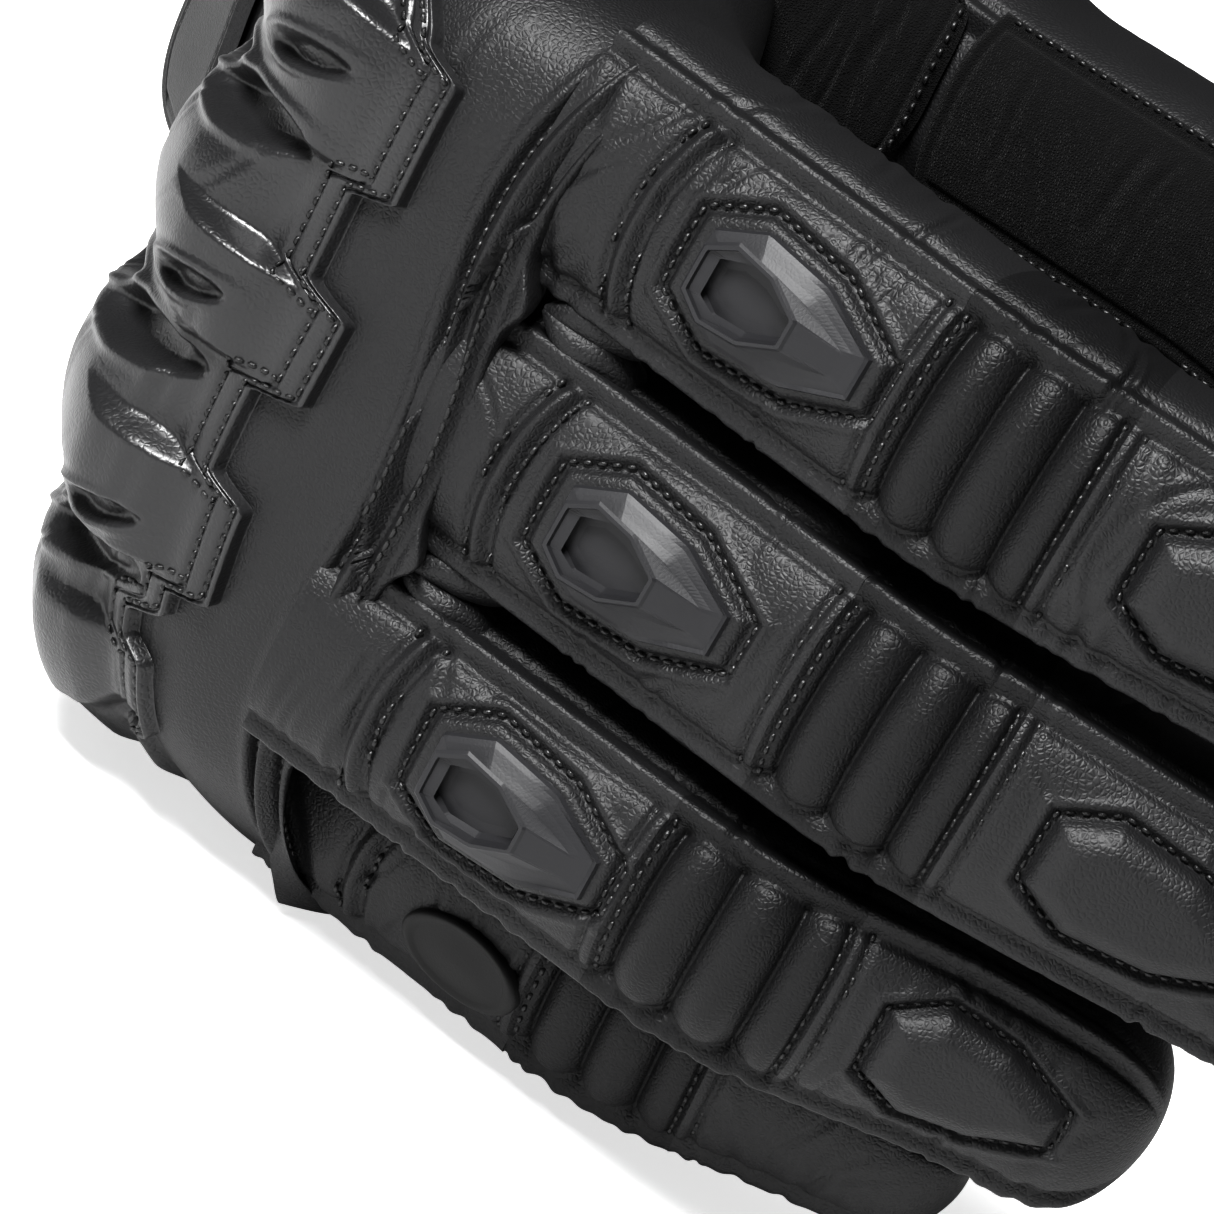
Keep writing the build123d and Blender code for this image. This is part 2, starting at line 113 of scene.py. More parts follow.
def leather(name, dark, light, rough, bump, depth, coat=0.0, scale=1.0, sheen=0.0, shine=0.4):
    made = bpy.data.materials.new(name)
    made.use_nodes = True
    nodes, links = made.node_tree.nodes, made.node_tree.links
    skin = nodes["Principled BSDF"]
    use = nodes.new("ShaderNodeGroup")
    use.node_tree = grain
    use.inputs["Scale"].default_value = scale
    tint = nodes.new("ShaderNodeMixRGB")
    tint.inputs["Color1"].default_value = (*dark, 1)
    tint.inputs["Color2"].default_value = (*light, 1)
    links.new(use.outputs["Patches"], tint.inputs["Fac"])
    links.new(tint.outputs["Color"], skin.inputs["Base Color"])
    dull = nodes.new("ShaderNodeMapRange")
    dull.inputs["To Min"].default_value = rough - 0.07
    dull.inputs["To Max"].default_value = rough + 0.09
    links.new(use.outputs["Patches"], dull.inputs["Value"])
    links.new(dull.outputs["Result"], skin.inputs["Roughness"])
    raised = nodes.new("ShaderNodeBump")
    raised.inputs["Strength"].default_value = bump
    raised.inputs["Distance"].default_value = depth
    links.new(use.outputs["Height"], raised.inputs["Height"])
    links.new(raised.outputs["Normal"], skin.inputs["Normal"])
    skin.inputs["Specular IOR Level"].default_value = shine
    skin.inputs["Coat Weight"].default_value = coat
    skin.inputs["Coat Roughness"].default_value = 0.18
    skin.inputs["Sheen Weight"].default_value = sheen
    skin.inputs["Sheen Roughness"].default_value = 0.5
    return made


hide = leather("black_leather", (0.0075, 0.0075, 0.008), (0.014, 0.014, 0.0148), 0.5, 0.34, 0.00012)
thread = leather("black_thread", (0.006, 0.006, 0.006), (0.012, 0.012, 0.0125), 0.4, 0.3, 0.00006,
                 scale=1.4, shine=0.5)

# The glove lies on its little-finger edge, so lengths are worked out in the hand's own
# layout in millimetres and moved to the resting frame by this shift.
REST = np.array([26.42, 46.84, 0.8])


def skin_mesh(name, grid, material, around=True, flip=False, inside=None):
    """A sheet of leather from rows of points in millimetres; rows may close into a ring.

    Faces turn away from the middle of their own row, or from the point given as inside.
    """
    rows, cols = grid.shape[:2]
    i, j = np.meshgrid(np.arange(rows - 1), np.arange(cols if around else cols - 1), indexing="ij")
    k = (j + 1) % cols
    quads = np.stack([i * cols + j, i * cols + k, (i + 1) * cols + k, (i + 1) * cols + j], -1).reshape(-1, 4)
    flat = grid.reshape(-1, 3)
    facing = np.cross(flat[quads[:, 2]] - flat[quads[:, 0]], flat[quads[:, 3]] - flat[quads[:, 1]])
    middle = grid.mean(axis=1)[quads[:, 0] // cols] if inside is None else np.asarray(inside, float)
    outward = (facing * (flat[quads].mean(axis=1) - middle)).sum() > 0
    if outward == flip:
        quads = quads[:, ::-1]
    mesh = bpy.data.meshes.new(name)
    points = (grid.reshape(-1, 3) - REST) * 0.001
    mesh.from_pydata(points.tolist(), [], quads.tolist())
    mesh.polygons.foreach_set("use_smooth", [True] * len(mesh.polygons))
    mesh.materials.append(material)
    mesh.update()
    made = bpy.data.objects.new(name, mesh)
    bpy.context.collection.objects.link(made)
    return made


def place(point):
    return (np.asarray(point, float) - REST) * 0.001


def smooth(x):
    x = np.clip(x, 0, 1)
    return x * x * (3 - 2 * x)


def bump_line(x, at, wide):
    return np.exp(-((x - at) / wide) ** 2)


def stitch_mesh(name, runs, material, pitch=1.32, long=0.98, thick=0.25):
    """Runs of short thread stitches lying along lines; each run is (points, normals)."""
    sides, flatness = 6, 1.15
    profile = ((0, -0.16, 0.5), (0.25, 0.05, 0.9), (0.75, 0.05, 0.9), (1, -0.16, 0.5))
    verts, faces = [], []
    for points, normals in runs:
        points, normals = np.asarray(points, float), np.asarray(normals, float)
        step = np.linalg.norm(np.diff(points, axis=0), axis=1)
        run = np.concatenate([[0], np.cumsum(step)])
        count = int(run[-1] / pitch)
        for n in range(count):
            mid = (n + 0.5) * run[-1] / count
            start, end = (np.array([np.interp(mid + d * long, run, points[:, c]) for c in range(3)])
                          for d in (-0.5, 0.5))
            up = np.array([np.interp(mid, run, normals[:, c]) for c in range(3)])
            up /= np.linalg.norm(up)
            along = end - start
            side = np.cross(up, along / (np.linalg.norm(along) + 1e-9))
            base = len(verts)
            for share, lift, size in profile:
                centre = start + along * share + up * lift
                for turn in range(sides):
                    a = turn * 2 * math.pi / sides
                    verts.append(centre + (side * math.cos(a) * flatness + up * math.sin(a)) * thick * size)
            for ring in range(len(profile) - 1):
                for turn in range(sides):
                    a, b = base + ring * sides + turn, base + ring * sides + (turn + 1) % sides
                    faces.append((a, b, b + sides, a + sides))
            faces.append(tuple(base + turn for turn in reversed(range(sides))))
            faces.append(tuple(base + (len(profile) - 1) * sides + turn for turn in range(sides)))
    mesh = bpy.data.meshes.new(name)
    mesh.from_pydata([tuple(v) for v in (np.array(verts) - REST) * 0.001], [], faces)
    mesh.polygons.foreach_set("use_smooth", [True] * len(mesh.polygons))
    mesh.materials.append(material)
    mesh.update()
    made = bpy.data.objects.new(name, mesh)
    bpy.context.collection.objects.link(made)
    return made


# ----------------------------------------
# Hand shell
# The glove's body: soft leather round the palm and knuckles, lofted between a back line
# and a palm line seen from the side, with the cross seam welted in front of the knuckles.
HAND_MIDDLE = 46.5       # height of the middle of the hand
BACK_LINE = np.array([(-24, 98), (-25.5, 70), (-26.6, 40), (-27.3, 14), (-26.8, 2), (-24, -8.5),
                      (-18, -15.8), (-8, -20.9), (1.5, -26.2)], float)
PALM_LINE = np.array([(16, 98), (13.5, 75), (11.5, 50), (10.5, 30), (10, 20), (9.6, 13.5),
                      (9.6, 8), (10, 2.5), (11.2, -5)], float)
WIDTHS = np.array([78, 83, 89, 92.5, 93, 93, 93, 93, 93], float)
DROPS = np.array([2, 4, 6, 8, 9, 9.6, 10, 10.6, 11], float)
STATION = np.array([0, 28, 58, 84, 96, 107, 116.5, 127.7, 138.6])
OUTLINE = np.array([(-0.5, 0.5), (-0.39, 0.92), (-0.15, 1.0), (0.1, 1.0), (0.37, 1.0), (0.47, 0.85),
                    (0.5, 0.5), (0.47, 0.15), (0.37, 0.0), (0.1, 0.0), (-0.15, 0.0), (-0.39, 0.08)])


def natural(x, xs, ys):
    """Smooth curve through points, by Hermite pieces with averaged slopes."""
    xs, ys = np.asarray(xs, float), np.asarray(ys, float)
    slope = np.gradient(ys, xs)
    k = np.clip(np.searchsorted(xs, x, side="right") - 1, 0, len(xs) - 2)
    h = xs[k + 1] - xs[k]
    t = (x - xs[k]) / h
    return ((1 + 2 * t) * (1 - t) ** 2 * ys[k] + t * (1 - t) ** 2 * h * slope[k]
            + t * t * (3 - 2 * t) * ys[k + 1] + t * t * (t - 1) * h * slope[k + 1])


loop_u = np.append(OUTLINE[:, 0], OUTLINE[0, 0])
loop_v = np.append(OUTLINE[:, 1], OUTLINE[0, 1])
wrap_u = np.concatenate([OUTLINE[-3:, 0], loop_u, OUTLINE[1:4, 0]])
wrap_v = np.concatenate([OUTLINE[-3:, 1], loop_v, OUTLINE[1:4, 1]])
wrap_k = np.arange(-3, 16)


def hand_raw(t, k):
    """Point on the plain hand shell: t in mm from the wrist, k runs 0..12 round the section."""
    t, k = np.broadcast_arrays(np.asarray(t, float), np.asarray(k, float))
    u = natural(k % 12, wrap_k, wrap_u)
    v = natural(k % 12, wrap_k, wrap_v)
    bx, by = natural(t, STATION, BACK_LINE[:, 0]), natural(t, STATION, BACK_LINE[:, 1])
    px, py = natural(t, STATION, PALM_LINE[:, 0]), natural(t, STATION, PALM_LINE[:, 1])
    width, drop = natural(t, STATION, WIDTHS), natural(t, STATION, DROPS)
    span = np.hypot(bx - px, by - py)
    dx, dy = (bx - px) / span, (by - py) / span
    reach = v * span - drop * np.maximum(0, (0.1 - u) / 0.5) ** 2
    return np.stack([px + dx * reach, py + dy * reach, HAND_MIDDLE + u * width], -1)


def surface_normal(point_of, a, b, da=0.4, db=0.02):
    """Outward normal of a surface round the hand, at a along it and b round it."""
    pa = point_of(a + da, b) - point_of(a - da, b)
    pb = point_of(a, b + db) - point_of(a, b - db)
    n = np.cross(pb, pa)
    spot = point_of(a, b)
    middle = spot * np.array([0, 1, 0]) + np.array([-5, 0, HAND_MIDDLE])
    n = n * np.sign((n * (spot - middle)).sum(-1, keepdims=True))
    return n / (np.linalg.norm(n, axis=-1, keepdims=True) + 1e-12)


def creases(x, y, seed, count, length, depth):
    """Broken wrinkle lines: a few slanting sine-warped valleys of random place and length."""
    rng = np.random.default_rng(seed)
    out = np.zeros(np.broadcast(x, y).shape)
    for _ in range(count):
        cx, cy = rng.uniform(x.min(), x.max()), rng.uniform(y.min(), y.max())
        lean, size = rng.normal(0, 0.35), length * rng.uniform(0.5, 1.4)
        wide = rng.uniform(0.35, 0.9)
        along = (y - cy) * math.cos(lean) + (x - cx) * math.sin(lean)
        across = (x - cx) * math.cos(lean) - (y - cy) * math.sin(lean) + 0.5 * np.sin(along / 2.3 + cx)
        out -= depth * rng.uniform(0.4, 1) * np.exp(-(across / wide) ** 2) * np.exp(-(along / size) ** 2)
        beside = np.exp(-((np.abs(across) - 1.6 * wide) / wide) ** 2)
        out += depth * 0.5 * beside * np.exp(-(along / size) ** 2)
    return out


CROSS_SEAM_AT = 131.5
CROSS_SEAM_SWAY = 1.7
STITCH_OFFSET = 1.7      # from the cross seam to the stitches on each side of it


def cross_seam(z):
    """Where the welted seam across the hand lies, in mm from the wrist, at a given height."""
    return CROSS_SEAM_AT + CROSS_SEAM_SWAY * np.cos(2 * math.pi * (z - 47) / 56)


WEBS = (68.2, 43.6, 21.4)


def hand_lift(t, k, base):
    z = base[..., 2]
    back = smooth((k % 12 - 0.2) / 0.8) * smooth((5.8 - k % 12) / 0.8)
    off = t - cross_seam(z)
    lift = 1.2 * bump_line(off, 0, 0.8)
    lift = lift - 0.9 * bump_line(off, STITCH_OFFSET, 0.45) - 0.9 * bump_line(off, -STITCH_OFFSET, 0.45)
    lift = lift + 0.35 * bump_line(off, 2.9, 0.7) + 0.35 * bump_line(off, -2.9, 0.7)
    near = smooth((t - 133.4) / 3.5)
    valley = sum(bump_line(z, web, 3.4) ** 0.6 for web in WEBS)
    lift = (lift - 0.6 * near * valley) * back
    lift = lift + 0.5 * np.sin(z / 7.5 + 0.03 * t) * (1 - back) * 0.6
    return lift


def hand_point(t, k):
    base = hand_raw(t, k)
    n = surface_normal(hand_raw, np.asarray(t, float), np.asarray(k, float))
    return base + n * hand_lift(t, np.asarray(k, float), base)[..., None]


SHELL_END = 137.6        # front edge on the palm side, in mm from the wrist
TRIM_FROM = 124          # from here the back's rows draw in toward the cross seam
t_rows = np.concatenate([np.linspace(0, 84, 85), np.linspace(84.6, 122, 64),
                         np.linspace(122.3, SHELL_END, 62)])
k_cols = np.concatenate([np.linspace(0, 6, 260, endpoint=False), np.linspace(6, 12, 110, endpoint=False)])
T, K = np.meshgrid(t_rows, k_cols, indexing="ij")
# on the back the shell stops just past the cross seam, with a short tongue into each web
rough = hand_raw(T, K)[..., 2]
tongue = sum(bump_line(rough, web, 2.4) for web in WEBS)
on_top = smooth((K - 0.1) / 0.7) * smooth((6.0 - K) / 0.7)
stop = SHELL_END + on_top * (cross_seam(rough) + 2.6 + 2.2 * tongue - SHELL_END)
T = np.where(T > TRIM_FROM, TRIM_FROM + (T - TRIM_FROM) * (stop - TRIM_FROM) / (SHELL_END - TRIM_FROM), T)
grid = hand_point(T, K)
lines = creases(T, K * 12, 5, 26, 8, 0.2) + creases(T, K * 12, 6, 18, 5, 0.16)
calm = smooth((125 - T) / 4)
grid = grid + surface_normal(hand_raw, T, K) * (lines * calm)[..., None]
# the front edge turns inward, under the finger sleeves
rim = grid[-1]
KNUCKLE_BEND = math.radians(62)      # how far the fingers turn from the line of the hand
forward = np.array([math.sin(KNUCKLE_BEND), -math.cos(KNUCKLE_BEND), 0])
toward = np.stack([0 * rim[:, 0] + 7.5, 0 * rim[:, 0] - 13, rim[:, 2]], -1)
inner = []
for step in range(1, 9):
    turn = step / 8 * math.pi / 2
    pull = rim + (toward - rim) * (1 - math.cos(turn)) * 0.5
    inner.append(pull + forward * math.sin(turn) * 1.6 - forward * (1 - math.cos(turn)) * 5)
grid = np.concatenate([grid, np.array(inner)])
hand = skin_mesh("hand_shell", grid, hide)
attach(hand, "hand")
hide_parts("knuckle_panel", "back_panel", "palm_panel", "little_side_wall", "thumb_side_wall")


def k_at_height(t, z, back=True):
    """Section position on the back of the hand at a given height, by bisection."""
    low, high = (np.full(np.shape(z), 0.0), np.full(np.shape(z), 6.0))
    if not back:
        low, high = (np.full(np.shape(z), 12.0), np.full(np.shape(z), 6.0))
    for _ in range(30):
        mid = (low + high) / 2
        over = hand_raw(t, mid)[..., 2] > z
        high = np.where(over, mid, high)
        low = np.where(over, low, mid)
    return (low + high) / 2


def on_back(t, z, out=0.0):
    """A point on the finished back of the hand at a distance t and height z, with its normal."""
    t, z = np.broadcast_arrays(np.asarray(t, float), np.asarray(z, float))
    k = k_at_height(t, z)
    n = surface_normal(hand_raw, t, k)
    base = hand_raw(t, k)
    return base + n * (hand_lift(t, k, base) + out)[..., None], n


z_line = np.linspace(6, 90, 260)
cross_stitches = stitch_mesh("cross_seam_stitches", [
    on_back(cross_seam(z_line) - STITCH_OFFSET, z_line, 0.1),
    on_back(cross_seam(z_line) + STITCH_OFFSET, z_line, 0.1)], thread)
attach(cross_stitches, "hand")

# ----------------------------------------
# Knuckle armour
# A moulded shell with four ridges and lens-shaped vents, covered in polished leather and sewn
# to the back of the hand round a stepped border.
polished = leather("polished_leather", (0.012, 0.012, 0.0125), (0.024, 0.024, 0.025), 0.36, 0.2, 0.00012,
                   coat=0.12, scale=0.8)
ARMOUR_REAR = 62         # in mm from the wrist
ARMOUR_LOW, ARMOUR_HIGH = 3.2, 91
ARMOUR_ROWS = (1.3, 3.5)     # stitch rows, in mm inside the border
RIDGE_Z = (79.5, 56.5, 34.5, 14.5)
VALLEY_Z = (68.3, 45.6, 24.6)


def armour_front(z):
    edge = 116.6 + 0.9 * np.cos((z - 56) / 18)
    for low, high, reach in ((68.5, 81.5, 4.2), (48.5, 58.5, 5.0), (27.0, 38.5, 4.4), (9.5, 18.0, 3.2)):
        edge = edge + reach * smooth((z - low + 0.9) / 1.8) * smooth((high + 0.9 - z) / 1.8)
    return edge - 5.0 * smooth((24 - z) / 3) - 6 * smooth((z - 82) / 6)


def armour_lift(t, z):
    d = armour_front(z) - t
    rear = t - ARMOUR_REAR
    lift = 1.5 * smooth(d / 0.5) * smooth(rear / 0.5) + 1.6 * smooth((d - 5) / 5) * smooth((rear - 3) / 8)
    grow = smooth((d - 5.5) / 10) * smooth((rear - 6) / 26)
    for number, centre in enumerate(RIDGE_Z):
        sway = centre + 1.6 * np.sin((t - 88) / 16 + number)
        lift = lift + 4.3 * grow * np.exp(-(np.abs(z - sway) / 8.2) ** 2.8)
    for number, centre in enumerate(VALLEY_Z):
        for at, size, wide, deep in ((103, 8.5, 2.1, 2.6), (88, 7.5, 1.6, 1.8)):
            lean = (t - at) * 0.16
            lens = ((t - at) / size) ** 2 + ((z - centre - lean + 1.2) / wide) ** 2
            lip = np.exp(-((np.sqrt(lens) - 1.35) / 0.28) ** 2)
            lift = lift - deep * smooth((1.25 - lens) / 0.9) + 0.7 * lip * grow
    for number, centre in enumerate(RIDGE_Z):
        lens = ((t - 108.5) / 4.2) ** 2 + ((z - centre + 4.2 - 0.3 * (t - 108.5)) / 1.3) ** 2
        lip = np.exp(-((np.sqrt(lens) - 1.4) / 0.3) ** 2)
        lift = lift - 1.7 * smooth((1.2 - lens) / 0.9) + 0.5 * lip * grow
    for inset in ARMOUR_ROWS:
        lift = lift - 0.35 * bump_line(d, inset, 0.35)
    lift = lift - 0.35 * bump_line(rear, 1.5, 0.4)
    edge = smooth((z - 3.5) / 3) * smooth((91 - z) / 3)
    return lift * edge + creases(t, z, 31, 40, 6, 0.25) * smooth((d - 5) / 3) * edge


a_rows, a_cols = np.meshgrid(np.linspace(0, 1, 210), np.linspace(ARMOUR_LOW, ARMOUR_HIGH, 330), indexing="ij")
a_t = ARMOUR_REAR + (armour_front(a_cols) - ARMOUR_REAR) * (1 - (1 - a_rows) ** 1.35)
a_points, a_normals = on_back(a_t, a_cols)
a_grid = a_points + a_normals * armour_lift(a_t, a_cols)[..., None]
armour = skin_mesh("knuckle_armour_leather", a_grid, polished, around=False, inside=(0, 10, 46))
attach(armour, "hand")
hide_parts("knuckle_armour")


def armour_row(inset):
    z = np.linspace(6, 89, 420)
    t = armour_front(z) - inset
    # the row shifts sideways on the border's slopes, so that it turns its steps more softly
    slope = np.gradient(t, z)
    height = z + slope / np.sqrt(1 + slope ** 2) * inset * 0.35
    points, normals = on_back(t, height)
    return points + normals * (armour_lift(t, height) + 0.05)[:, None], normals


armour_stitches = stitch_mesh("armour_stitches", [armour_row(inset) for inset in ARMOUR_ROWS], thread)
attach(armour_stitches, "hand")

# ----------------------------------------
# Finger sleeves
# Each finger is a back panel, a palm panel and two side strips sewn into a rounded sleeve with
# rolled seams; the back carries the slider, the accordion and the puffed tip pad.
# The accordion leather is painted darker than the rest of the glove. This is painted shade standing in for
# the deep shadow in the valleys between its ribs.
rib_hide_painted_shade = leather("rib_leather_painted_shade", (0.004, 0.004, 0.0044), (0.008, 0.008, 0.0085), 0.5, 0.34, 0.00012,
                   shine=0.32)
BASE_AHEAD = 13          # from the bend at the knuckles to the finger hinges
SLIDER_FRAME = (21.5, 14.0)
PAD_OUTLINE = (20, 12.5)
ACCORDION_HALF = 7.6
TIP_CAP = 10.5           # length of the rounded end
TIP_NARROW = 3.0         # how much slimmer the sleeve is at its tip
BASE_SEAM_BOW = 0.016    # how the base seam curves away from the knuckle, per mm squared
# height, depth, width, thick, curl, roll, base to middle, middle to tip, middle bend, tip bend
FINGERS = {
    "index": (81, -11, 26, 22, 0, 0, 37.5, 42, 14, 0),
    "middle": (55.2, -11, 25.4, 22, 2, 0, 41.5, 44, 16, 3),
    "ring": (30.6, -11, 23.6, 21, 4, 5, 37, 39.5, 26, -12),
    "pinky": (12.0, 2.8, 18, 17, 2, 14, 29, 32, 20, -6),
}


def finger_axes(name):
    height, depth, width, thick, curl, roll, near, far, bend, tip_bend = FINGERS[name]
    lean, line, turn = KNUCKLE_BEND + math.radians(curl), KNUCKLE_BEND, math.radians(roll)
    along = np.array([math.sin(lean), -math.cos(lean), 0])
    palm = np.array([math.cos(lean), math.sin(lean), 0])
    hinge = np.array([0, 0, 1]) * math.cos(turn) - palm * math.sin(turn)
    origin = (np.array([math.sin(line), -math.cos(line), 0]) * BASE_AHEAD
              + np.array([math.cos(line), math.sin(line), 0]) * depth + np.array([0, 0, height]))
    return origin, along, np.cross(hinge, along), hinge


class Sleeve:
    """The shape of one finger sleeve: s runs along it from the base hinge, w round it from the back."""

    def __init__(self, axes, width, thick, near, far, bend, tip_bend=0, slider=None,
                 pad=None, seed=1, base_seam=True, flare=0.0):
        self.origin, self.along, self.palm, self.hinge = axes
        self.width, self.thick, self.near, self.far = width, thick, near, far
        self.bend, self.tip_bend = math.radians(bend), math.radians(tip_bend)
        self.length = near + far + 1
        self.slider, self.pad, self.seed = slider, pad, seed
        self.base_seam, self.flare = base_seam, flare
        a = np.linspace(-math.pi, math.pi, 1441)
        power = 2 / 2.55
        z = width / 2 * np.sign(np.sin(a)) * np.abs(np.sin(a)) ** power
        y = -thick / 2 * np.sign(np.cos(a)) * np.abs(np.cos(a)) ** power
        arc = np.concatenate([[0], np.cumsum(np.hypot(np.diff(z), np.diff(y)))])
        self.w_table = arc - arc[720]
        self.z_table, self.y_table = z, y
        self.half = arc[-1] / 2
        self.seam = np.interp(width * 0.405, z[720:1081], self.w_table[720:1081])
        root_end = -44
        s = np.linspace(root_end, self.length + 2, 2401)
        turn = self.bend * smooth((s - near + 8) / 16)
        turn = turn + self.tip_bend * smooth((s - near - far * 0.35) / (far * 0.4))
        ds = s[1] - s[0]
        x = root_end + np.concatenate([[0], np.cumsum(np.cos((turn[1:] + turn[:-1]) / 2) * ds)])
        y = np.concatenate([[0], np.cumsum(np.sin((turn[1:] + turn[:-1]) / 2) * ds)])
        self.s_table, self.turn_table, self.px, self.py = s, turn, x, y

    def shrink(self, s):
        taper = 1 - TIP_NARROW / self.width * smooth((s - self.near) / self.far)
        taper = taper + self.flare * smooth(-s / 34)
        start = self.length - TIP_CAP
        cap = np.sqrt(np.clip(1 - (np.clip(s - start, 0, None) / TIP_CAP) ** 2.5, 0, 1))
        root = np.sqrt(np.clip(1 - (np.clip(-s - 24, 0, None) / 16.5) ** 2, 0.01, 1))
        return taper * cap * root

    def raw(self, s, w):
        s, w = np.broadcast_arrays(np.asarray(s, float), np.asarray(w, float))
        z = np.interp(w, self.w_table, self.z_table)
        y = np.interp(w, self.w_table, self.y_table)
        scale = self.shrink(s)
        turn = np.interp(s, self.s_table, self.turn_table)
        cx, cy = np.interp(s, self.s_table, self.px), np.interp(s, self.s_table, self.py)
        x = cx - np.sin(turn) * y * scale
        yy = cy + np.cos(turn) * y * scale
        return (self.origin + x[..., None] * self.along + yy[..., None] * self.palm
                + (z * scale)[..., None] * self.hinge)

    def coffin(self, s, w, at, length, width):
        """Signed distance in mm inside a long eight-sided outline, wide toward the knuckle."""
        x, y = (s - at), np.abs(w)
        h, b = length / 2, width / 2
        edges = ((-h, 0, -h, b * 0.56), (-h, b * 0.56, -h * 0.5, b), (-h * 0.5, b, h * 0.3, b * 0.88),
                 (h * 0.3, b * 0.88, h, b * 0.36), (h, b * 0.36, h, 0))
        inside = np.full(np.shape(x), 1e3)
        for x0, y0, x1, y1 in edges:
            d = math.hypot(x1 - x0, y1 - y0)
            side = ((x - x0) * (y1 - y0) - (y - y0) * (x1 - x0)) / d
            inside = np.minimum(inside, side)
        return inside

    def lift(self, s, w):
        s, w = np.broadcast_arrays(np.asarray(s, float), np.asarray(w, float))
        aw = np.abs(w)
        cap = smooth((self.length - s) / 5)
        # rolled seams between the back panel and the side strips, and the palm side
        rise = 0.85 * bump_line(aw, self.seam, 0.75) - 0.5 * bump_line(aw, self.seam - 1.5, 0.6)
        rise = rise - 0.5 * bump_line(aw, self.seam + 1.7, 0.8)
        low = self.half - self.seam * 0.82
        rise = rise + 0.45 * bump_line(aw, low, 0.6) - 0.3 * bump_line(aw, low - 1.3, 0.5)
        side = smooth((aw - self.seam - 1) / 1.5) * smooth((low - 1 - aw) / 1.5)
        rise = rise - 0.5 * side + 0.1 * side * np.sin(s * 0.55 + 2 * np.sin(s * 0.13 + self.seed))
        top = smooth((self.seam - 0.8 - aw) / 1.2)
        inner = np.zeros(np.shape(s))
        if self.base_seam:
            bow = BASE_SEAM_BOW * w * w
            inner += 0.65 * bump_line(s, 2.0 + bow, 0.55) - 0.5 * bump_line(s, 0.7 + bow, 0.45)
            inner += -0.5 * bump_line(s, 3.3 + bow, 0.45)
        if self.slider:
            d = self.coffin(s, w, self.slider, *SLIDER_FRAME)
            inner += -0.75 * bump_line(d, 0, 0.6) + 0.35 * smooth(d / 0.8) + 0.3 * bump_line(d, -1.1, 0.5)
        if self.pad:
            d = self.coffin(s, w, self.pad, *PAD_OUTLINE)
            inner += (-0.8 * bump_line(d, 0, 0.55) + 1.75 * np.sqrt(smooth(d / 3.2))
                      + 0.25 * bump_line(d, -1.0, 0.5))
        off = s - self.near
        zone = smooth((7.2 - np.abs(off)) / 0.6)
        ribs = np.abs(np.sin((off + 1.2) * math.pi / 4.8)) ** 0.7
        inner += zone * (2.0 * ribs - 1.7)
        for at in (-8.0, 8.0):
            inner += -0.55 * bump_line(off, at - 0.95, 0.35) - 0.55 * bump_line(off, at + 0.95, 0.35)
            inner += 0.2 * bump_line(off, at, 0.5)
        wrinkle = creases(s, w, self.seed, 44, 6.5, 0.26)
        calm = 1.0
        if self.slider:
            calm = calm * (1 - smooth((self.coffin(s, w, self.slider, *SLIDER_FRAME) + 2) / 2))
        if self.pad:
            calm = calm * (1 - smooth((self.coffin(s, w, self.pad, *PAD_OUTLINE) + 2) / 2))
        calm = calm * (1 - smooth((10 - np.abs(s - self.near)) / 1.5) * top)
        return (rise + inner * top) * cap + wrinkle * calm * smooth((self.length - 3 - s) / 5)

    def point(self, s, w):
        s, w = np.broadcast_arrays(np.asarray(s, float), np.asarray(w, float))
        return self.raw(s, w) + self.normal(s, w) * self.lift(s, w)[..., None]

    def normal(self, s, w):
        s = np.minimum(s, self.length - 0.15)
        ds = self.raw(s + 0.1, w) - self.raw(s - 0.1, w)
        dw = self.raw(s, w + 0.15) - self.raw(s, w - 0.15)
        n = np.cross(ds, dw)
        return n / (np.linalg.norm(n, axis=-1, keepdims=True) + 1e-12)

    def columns(self):
        near = np.linspace(-17, 17, 130)
        far = np.linspace(17, 2 * self.half - 17, 52)[1:-1]
        far = np.where(far > self.half, far - 2 * self.half, far)
        return np.concatenate([near, far])

    def piece(self, name, first, last, step, material, close=False):
        if close:
            start = self.length - TIP_CAP
            s = np.concatenate([np.arange(first, start, step),
                                start + TIP_CAP * np.sin(np.linspace(0, 1, 34) * math.pi / 2) * 0.9999])
        else:
            s = np.linspace(first, last, int((last - first) / step) + 1)
        S, W = np.meshgrid(s, self.columns(), indexing="ij")
        return skin_mesh(name, self.point(S, W), material)

    def line(self, s, w, out=0.0):
        s, w = np.broadcast_arrays(np.asarray(s, float), np.asarray(w, float))
        n = self.normal(s, w)
        return self.point(s, w) + n * out, n


def coffin_path(at, length, width, grow, count=160):
    """Closed outline points (s, w) of the long eight-sided shape."""
    h, b = length / 2 + grow, width / 2 + grow
    ring = [(-h, 0), (-h, b * 0.56), (-h * 0.5, b), (h * 0.3, b * 0.88), (h, b * 0.36), (h, -b * 0.36),
            (h * 0.3, -b * 0.88), (-h * 0.5, -b), (-h, -b * 0.56), (-h, 0)]
    ring = np.array(ring)
    run = np.concatenate([[0], np.cumsum(np.hypot(*np.diff(ring, axis=0).T))])
    d = np.linspace(0, run[-1], count)
    return at + np.interp(d, run, ring[:, 0]), np.interp(d, run, ring[:, 1])


